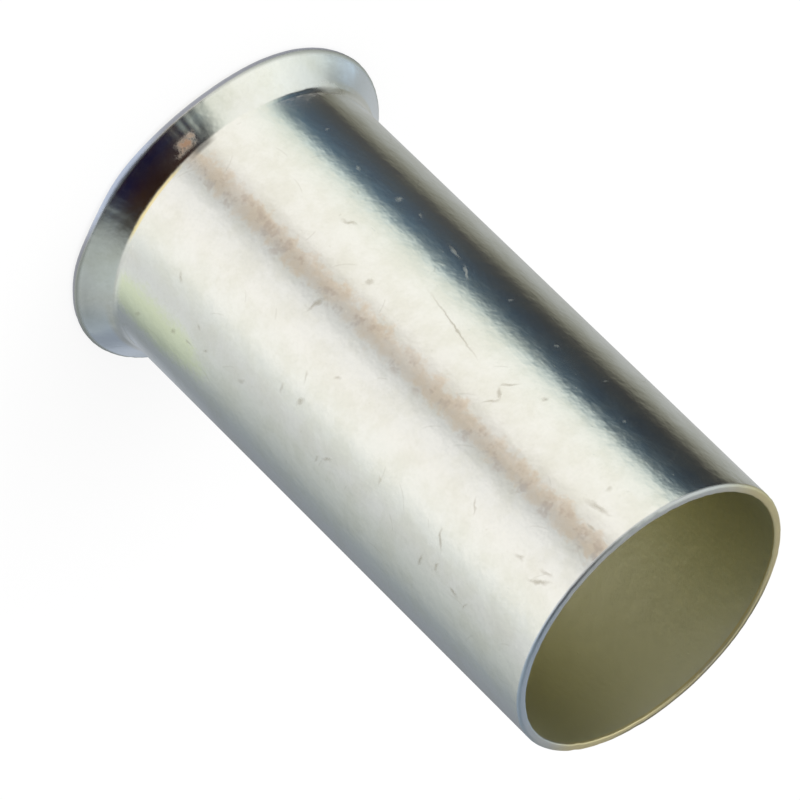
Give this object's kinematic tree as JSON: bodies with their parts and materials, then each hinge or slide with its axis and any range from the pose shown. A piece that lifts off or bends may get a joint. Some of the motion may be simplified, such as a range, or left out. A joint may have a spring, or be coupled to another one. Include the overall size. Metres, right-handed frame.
{
  "type": "wire ferrule",
  "caption": "Uninsulated wire end ferrule: a thin tin-plated copper tube, open at both ends, flared at one end to take a stranded wire.",
  "frame": {"origin": "centre of the flare's mouth, on the plane that the flare's rim stands on", "axes": "+Z along the bore, from the flare to the cut end; the part is round, so X and Y are free"},
  "size_m": [0.0128, 0.0128, 0.0223],
  "materials": {
    "tin_plate": "satin tin plate over copper, lightly scuffed and stained"
  },
  "bodies": {
    "root": {"ferrule": "tin_plate"}
  },
  "joints": []
}
